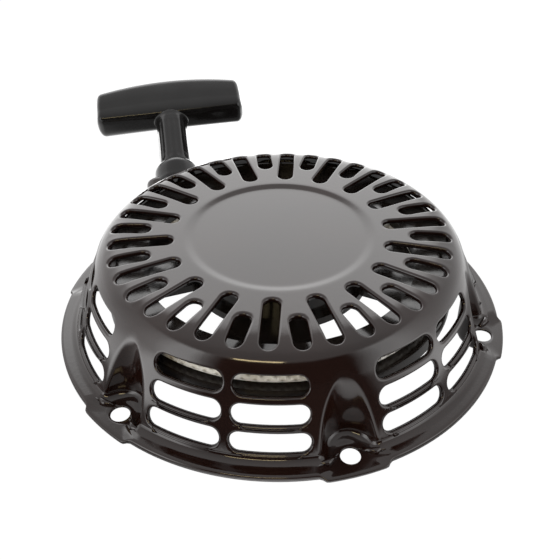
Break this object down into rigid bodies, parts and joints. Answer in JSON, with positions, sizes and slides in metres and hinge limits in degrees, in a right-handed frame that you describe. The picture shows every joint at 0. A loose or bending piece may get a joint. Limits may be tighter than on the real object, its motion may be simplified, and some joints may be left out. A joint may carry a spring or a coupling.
{
  "type": "recoil starter",
  "caption": "Round pressed-steel recoil starter: slotted black case, sprung rope reel, pivoting ratchets and a T-shaped pull handle on a braided rope.",
  "frame": {"origin": "centre of the bolt circle, in the plane of the undersides of the six ears", "axes": "+Z points away from the engine through the slotted face; +Y is roughly the side on which the rope leaves; +X to the right of that"},
  "size_m": [0.2331, 0.2764, 0.0684],
  "materials": {
    "black_paint": "black gloss enamel on pressed sheet steel",
    "bright_steel": "turned steel, lightly oiled",
    "zinc_steel": "bright zinc-plated steel",
    "spring_steel": "blued spring strip",
    "wire_steel": "drawn spring wire",
    "cast_alloy": "die-cast light alloy, painted black",
    "sintered_steel": "sintered steel, slightly rough",
    "bronze": "oil-filled bronze",
    "braid": "off-white braided nylon rope",
    "grip_plastic": "moulded black plastic, satin gloss"
  },
  "bodies": {
    "case": {"starter_case": "black_paint", "case_spindle": "bright_steel", "rope_guide": "grip_plastic", "centre_screw": "zinc_steel", "screw_washer": "zinc_steel", "rope_run": "braid"},
    "reel": {"starter_reel": "cast_alloy", "reel_bush": "bronze", "spring_cover": "bright_steel", "recoil_spring": "spring_steel", "rope_coil": "braid", "reel_knot": "braid", "ratchet_springs": "wire_steel"},
    "guide": {"ratchet_guide": "zinc_steel", "friction_spring": "wire_steel"},
    "ratchet_a": {"ratchet_1": "sintered_steel"},
    "ratchet_b": {"ratchet_2": "sintered_steel"},
    "handle": {"handle_grip": "grip_plastic", "handle_washer": "zinc_steel", "handle_knot": "braid", "rope_lead": "braid"}
  },
  "joints": [
    {"name": "reel_spin", "type": "hinge", "parent": "case", "child": "reel", "pos_m": [0, 0, 0.03], "axis": [0, 0, -1], "range_deg": [0, 1080], "stiffness_Nm_per_rad": 0.05, "deforming": ["rope_run"]},
    {"name": "handle_pull", "type": "slide", "parent": "case", "child": "handle", "axis": [-0.1479, 0.9339, 0.3256], "range_m": [0, 1.5]},
    {"name": "guide_turn", "type": "hinge", "parent": "reel", "child": "guide", "pos_m": [0, 0, 0.016], "axis": [0, 0, 1], "range_deg": [0, 25]},
    {"name": "ratchet_a_swing", "type": "hinge", "parent": "reel", "child": "ratchet_a", "pos_m": [0.03, 0, 0.02], "axis": [0, 0, 1], "range_deg": [0, 28]},
    {"name": "ratchet_b_swing", "type": "hinge", "parent": "reel", "child": "ratchet_b", "pos_m": [-0.03, 0, 0.02], "axis": [0, 0, 1], "range_deg": [0, 28]}
  ],
  "couplings": [
    {"joint": "handle_pull", "follows": "reel_spin", "m_per_rad": 0.0792},
    {"joint": "ratchet_a_swing", "follows": "guide_turn", "ratio": 1.12},
    {"joint": "ratchet_b_swing", "follows": "guide_turn", "ratio": 1.12}
  ]
}
